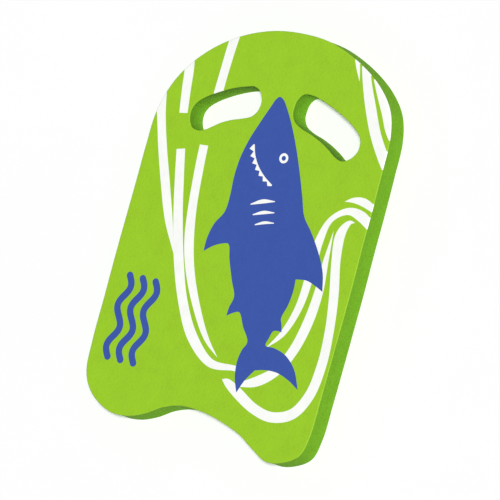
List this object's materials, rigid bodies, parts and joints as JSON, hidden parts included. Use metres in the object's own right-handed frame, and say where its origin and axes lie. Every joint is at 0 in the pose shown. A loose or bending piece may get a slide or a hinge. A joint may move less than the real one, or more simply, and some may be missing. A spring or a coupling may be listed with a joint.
{
  "type": "kickboard float",
  "caption": "Flat foam swimming kickboard with a rounded nose, two slanted hand holes and a scooped tail, with a printed deck.",
  "frame": {"origin": "middle of the underside's bounding rectangle, on the surface that the board lies on", "axes": "+Y towards the rounded nose and the hand holes, +X to the board's right seen from the deck with the nose up, +Z out of the printed deck"},
  "size_m": [0.3, 0.46, 0.0303],
  "materials": {
    "foam_lime": "closed-cell EVA foam, fine matt skin on the faces and cut cells on the walls",
    "print_white": "satin transfer film",
    "print_blue": "satin transfer film"
  },
  "bodies": {
    "root": {"crest": "print_white", "foam_board": "foam_lime", "loop_lower": "print_white", "loop_middle": "print_white", "loop_middle_foot": "print_white", "loop_upper": "print_white", "loop_upper_crest": "print_white", "shark_eye_pupil": "print_blue", "shark_eye_white": "print_white", "shark_gill_1": "print_white", "shark_gill_2": "print_white", "shark_gill_3": "print_white", "shark_print": "print_blue", "shark_teeth": "print_white", "stripe_nose_sliver": "print_white", "stripe_port_inner": "print_white", "stripe_port_inner_upper": "print_white", "stripe_port_middle": "print_white", "stripe_port_middle_upper": "print_white", "stripe_port_outer": "print_white", "stripe_starboard": "print_white", "stripe_starboard_edge": "print_white", "wave_mark_1": "print_blue", "wave_mark_2": "print_blue", "wave_mark_3": "print_blue"}
  },
  "joints": []
}
